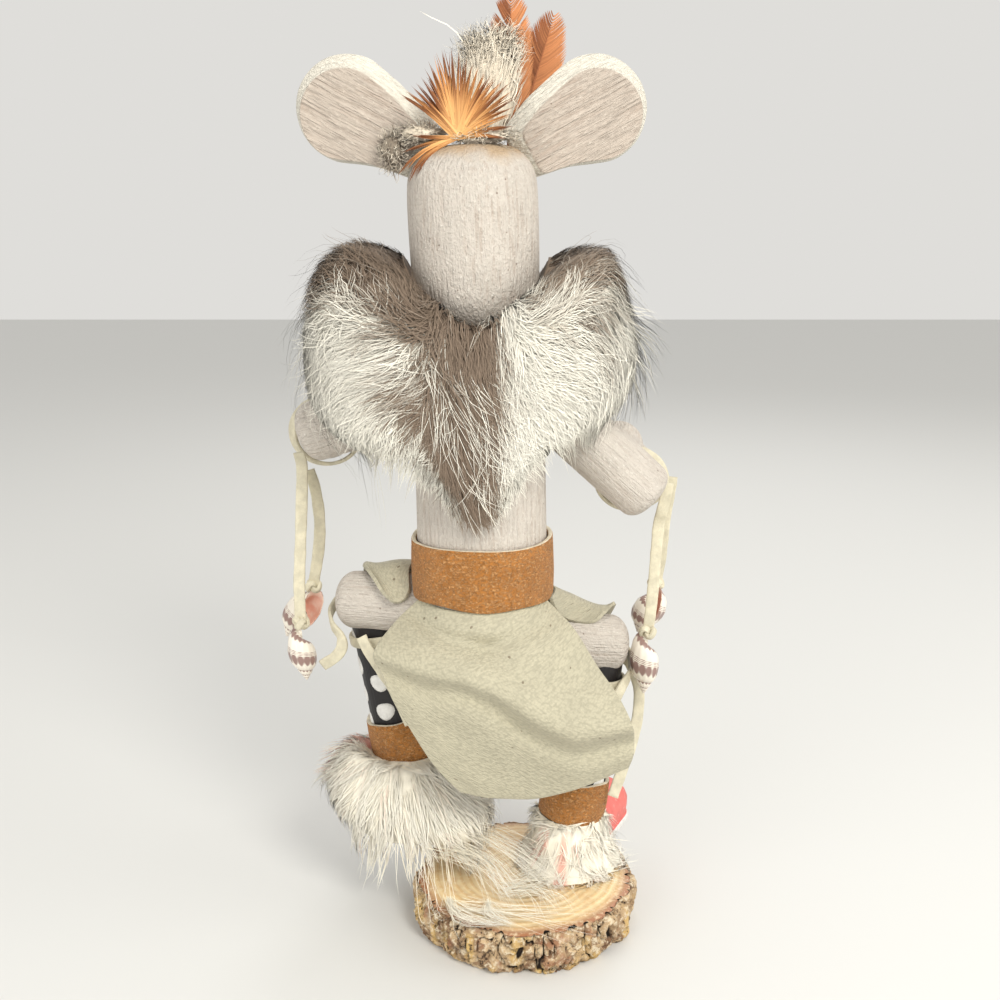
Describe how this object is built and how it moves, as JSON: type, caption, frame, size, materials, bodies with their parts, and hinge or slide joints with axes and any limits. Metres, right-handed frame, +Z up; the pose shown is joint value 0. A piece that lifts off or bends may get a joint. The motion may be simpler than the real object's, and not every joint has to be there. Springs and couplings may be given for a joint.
{
  "type": "kachina doll",
  "caption": "Carved, white-painted dancing doll with animal ears, feathers, fur mantle and anklets, leather belt and aprons, and shell-tipped thongs, one foot lifted above a bark-edged slab.",
  "frame": {"origin": "middle of the slab's flat underside", "axes": "+Z up through the doll; +Y the way the doll faces; -X the doll's own left, the side of the lifted foot"},
  "size_m": [0.129, 0.0889, 0.2859],
  "materials": {
    "bark_wood": "rough grey-brown bark around a sawn, varnished honey-coloured face",
    "white_paint": "matt white paint with open grain showing through",
    "black_paint": "matt black paint with round white dots",
    "red_paint": "matt coral red paint with a white rim at the sole",
    "suede": "rusty brown suede with a pale cut edge",
    "buckskin": "thin cream skin with fine dark pores",
    "thong": "flat cream lace",
    "mantle_fur": "long soft fur, grey-brown above and cream below",
    "anklet_fur": "long soft cream fur",
    "sea_shell": "satin cream shell with brown and purple bands",
    "hackle": "glossy orange hackle feathers",
    "brown_vane": "brown vane with fine dark bars",
    "down": "soft cream down with grey tips"
  },
  "bodies": {
    "root": {"base_slab": "bark_wood", "torso": "white_paint", "head": "white_paint", "ear_left": "white_paint", "ear_right": "white_paint", "upper_arm_left": "white_paint", "upper_arm_right": "white_paint", "forearm_left": "white_paint", "forearm_right": "white_paint", "thigh_left": "white_paint", "thigh_right": "white_paint", "shin_left": "black_paint", "shin_right": "black_paint", "moccasin_left": "red_paint", "moccasin_right": "red_paint", "belt": "suede", "cuff_left": "suede", "cuff_right": "suede", "back_apron": "buckskin", "front_apron": "buckskin", "fur_mantle": "mantle_fur", "fur_anklet_left": "anklet_fur", "fur_anklet_right": "anklet_fur", "elbow_thong_left": "thong", "elbow_thong_right": "thong", "knee_thong_left": "thong", "knee_thong_right": "thong", "tail_left_front": "thong", "tail_left_back": "thong", "tail_right_front": "thong", "tail_right_back": "thong", "knee_tail_left_outer": "thong", "knee_tail_left_inner": "thong", "knee_tail_right_outer": "thong", "knee_tail_right_inner": "thong", "shell_left_front": "sea_shell", "shell_left_back": "sea_shell", "shell_right_front": "sea_shell", "shell_right_back": "sea_shell", "feather_fan": "hackle", "brown_feather_mid": "brown_vane", "brown_feather_right": "brown_vane", "fluff_plume": "down", "fluff_tuft_left": "down"}
  },
  "joints": []
}
